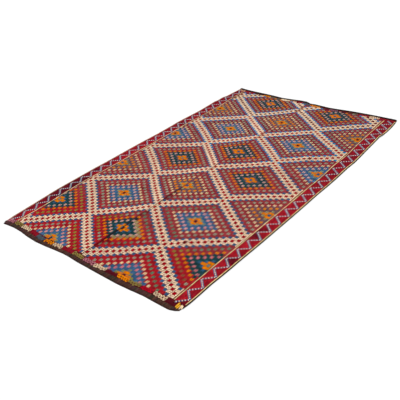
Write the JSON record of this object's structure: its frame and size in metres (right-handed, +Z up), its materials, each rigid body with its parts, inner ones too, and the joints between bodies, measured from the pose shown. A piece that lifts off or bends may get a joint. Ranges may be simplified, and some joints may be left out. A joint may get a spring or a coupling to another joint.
{
  "type": "kilim rug",
  "caption": "Flat-woven wool rug in two long panels sewn along the middle, with overcast side cords and dark end bands.",
  "frame": {"origin": "middle of the underside, on the floor", "axes": "+Z up, +Y from the near end to the far end along the length, +X across the width to the right"},
  "size_m": [1.7297, 2.8696, 0.0078],
  "materials": {
    "panel_wool": "matt ribbed flat weave with raised wool dashes",
    "dark_yarn": "matt wrapped and overcast wool yarn",
    "tan_yarn": "matt overcast wool yarn, undyed"
  },
  "bodies": {
    "root": {"panel_left": "panel_wool", "panel_right": "panel_wool", "end_band_near": "dark_yarn", "end_band_far": "dark_yarn", "selvedge_left": "tan_yarn", "selvedge_right": "dark_yarn"}
  },
  "joints": []
}
